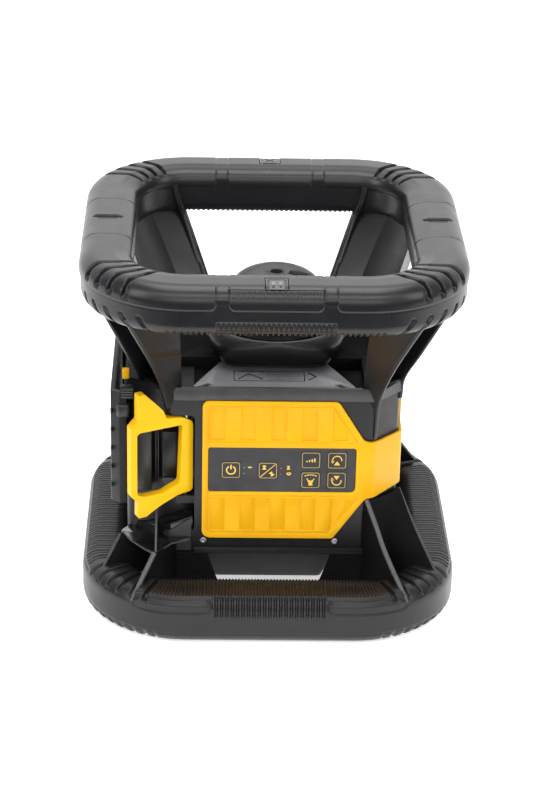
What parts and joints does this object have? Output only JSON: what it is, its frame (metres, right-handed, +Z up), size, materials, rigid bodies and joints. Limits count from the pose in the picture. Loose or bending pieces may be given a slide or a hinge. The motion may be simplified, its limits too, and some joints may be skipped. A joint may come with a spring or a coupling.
{
  "type": "rotating laser level",
  "caption": "Self-levelling rotary laser head in a square roll cage, with a keypad, a side battery door with a pull latch, and tripod threads below and behind.",
  "frame": {"origin": "on the ground, under the rotor's axis, at the centre of the base ring", "axes": "+Z up along the rotor's axis, -Y towards the keypad side, -X towards the battery door"},
  "size_m": [0.25, 0.25, 0.252],
  "materials": {
    "black_plastic": "satin moulded, slight sheen",
    "grip_polymer": "satin, smooth with ribbed grips",
    "yellow_plastic": "semi-gloss, fine texture",
    "keypad_film": "matt film",
    "optical_glass": "polished",
    "steel": "bright",
    "aluminium": "machined",
    "brass": "turned",
    "circuit_board": "matt",
    "green_lens": "clear",
    "red_lens": "clear",
    "seal_rubber": "matt"
  },
  "bodies": {
    "chassis": {"base_ring": "grip_polymer", "battery_bay": "black_plastic", "battery_pack": "black_plastic", "battery_terminals": "brass", "bottom_housing": "black_plastic", "control_board": "circuit_board", "door_hinge_pin": "steel", "door_seal": "seal_rubber", "front_cover": "yellow_plastic", "front_housing": "black_plastic", "front_screw_left": "steel", "front_screw_right": "steel", "gimbal_yoke": "aluminium", "head_collar": "black_plastic", "keypad_panel": "keypad_film", "latch_pin": "steel", "leveling_motor_x": "steel", "leveling_motor_y": "steel", "lower_pillar_front_left": "black_plastic", "lower_pillar_front_right": "black_plastic", "lower_pillar_rear_left": "black_plastic", "lower_pillar_rear_right": "black_plastic", "power_indicator": "green_lens", "rear_cover": "yellow_plastic", "rear_housing": "black_plastic", "right_side_panel": "yellow_plastic", "side_thread": "brass", "slope_indicator": "red_lens", "top_deck": "black_plastic", "tripod_thread": "brass", "upper_grip_ring": "grip_polymer", "upper_pillar_front_left": "black_plastic", "upper_pillar_front_right": "black_plastic", "upper_pillar_rear_left": "black_plastic", "upper_pillar_rear_right": "black_plastic"},
    "gimbal": {"gimbal_ring": "aluminium"},
    "laser_core": {"laser_sleeve": "aluminium", "laser_module": "brass", "collimator_lens": "optical_glass", "lower_bearing": "steel", "upper_bearing": "steel", "spindle_motor": "steel", "drive_belt": "seal_rubber", "gimbal_pin_left": "steel", "gimbal_pin_right": "steel"},
    "rotor": {"rotor_hub": "black_plastic", "rotor_pulley": "aluminium", "rotor_turret": "black_plastic", "rotor_cap": "black_plastic", "prism_seat": "aluminium", "penta_prism": "optical_glass"},
    "motor_spindle": {"motor_pulley": "brass"},
    "door": {"battery_door": "black_plastic"},
    "latch": {"door_latch": "yellow_plastic"},
    "power_button": {"power_button": "keypad_film"},
    "slope_button": {"slope_button": "keypad_film"},
    "speed_button": {"speed_button": "keypad_film"},
    "turn_right_button": {"turn_right_button": "keypad_film"},
    "scan_button": {"scan_button": "keypad_film"},
    "turn_left_button": {"turn_left_button": "keypad_film"}
  },
  "joints": [
    {"name": "roll_leveling", "type": "hinge", "parent": "chassis", "child": "gimbal", "pos_m": [0.003, 0, 0.12], "axis": [0, 1, 0], "range_deg": [-5, 5]},
    {"name": "pitch_leveling", "type": "hinge", "parent": "gimbal", "child": "laser_core", "pos_m": [0.003, 0, 0.12], "axis": [1, 0, 0], "range_deg": [-5, 5]},
    {"name": "rotor_spin", "type": "hinge", "parent": "laser_core", "child": "rotor", "pos_m": [0.003, 0, 0.18], "axis": [0, 0, 1], "continuous": true},
    {"name": "motor_spin", "type": "hinge", "parent": "laser_core", "child": "motor_spindle", "pos_m": [0.053, 0, 0.146], "axis": [0, 0, 1], "continuous": true},
    {"name": "door_hinge", "type": "hinge", "parent": "chassis", "child": "door", "pos_m": [-0.1015, 0.0665, 0.117], "axis": [0, 0, -1], "range_deg": [0, 110]},
    {"name": "latch_hinge", "type": "hinge", "parent": "chassis", "child": "latch", "pos_m": [-0.056, -0.063, 0.11], "axis": [0, 0, 1], "range_deg": [0, 55]},
    {"name": "power_press", "type": "slide", "parent": "chassis", "child": "power_button", "axis": [0, 1, 0], "range_m": [0, 0.0008], "stiffness_N_per_m": 1500},
    {"name": "slope_press", "type": "slide", "parent": "chassis", "child": "slope_button", "axis": [0, 1, 0], "range_m": [0, 0.0008], "stiffness_N_per_m": 1500},
    {"name": "speed_press", "type": "slide", "parent": "chassis", "child": "speed_button", "axis": [0, 1, 0], "range_m": [0, 0.0008], "stiffness_N_per_m": 1500},
    {"name": "turn_right_press", "type": "slide", "parent": "chassis", "child": "turn_right_button", "axis": [0, 1, 0], "range_m": [0, 0.0008], "stiffness_N_per_m": 1500},
    {"name": "scan_press", "type": "slide", "parent": "chassis", "child": "scan_button", "axis": [0, 1, 0], "range_m": [0, 0.0008], "stiffness_N_per_m": 1500},
    {"name": "turn_left_press", "type": "slide", "parent": "chassis", "child": "turn_left_button", "axis": [0, 1, 0], "range_m": [0, 0.0008], "stiffness_N_per_m": 1500}
  ],
  "couplings": [
    {"joint": "motor_spin", "follows": "rotor_spin", "ratio": 2.9737}
  ]
}
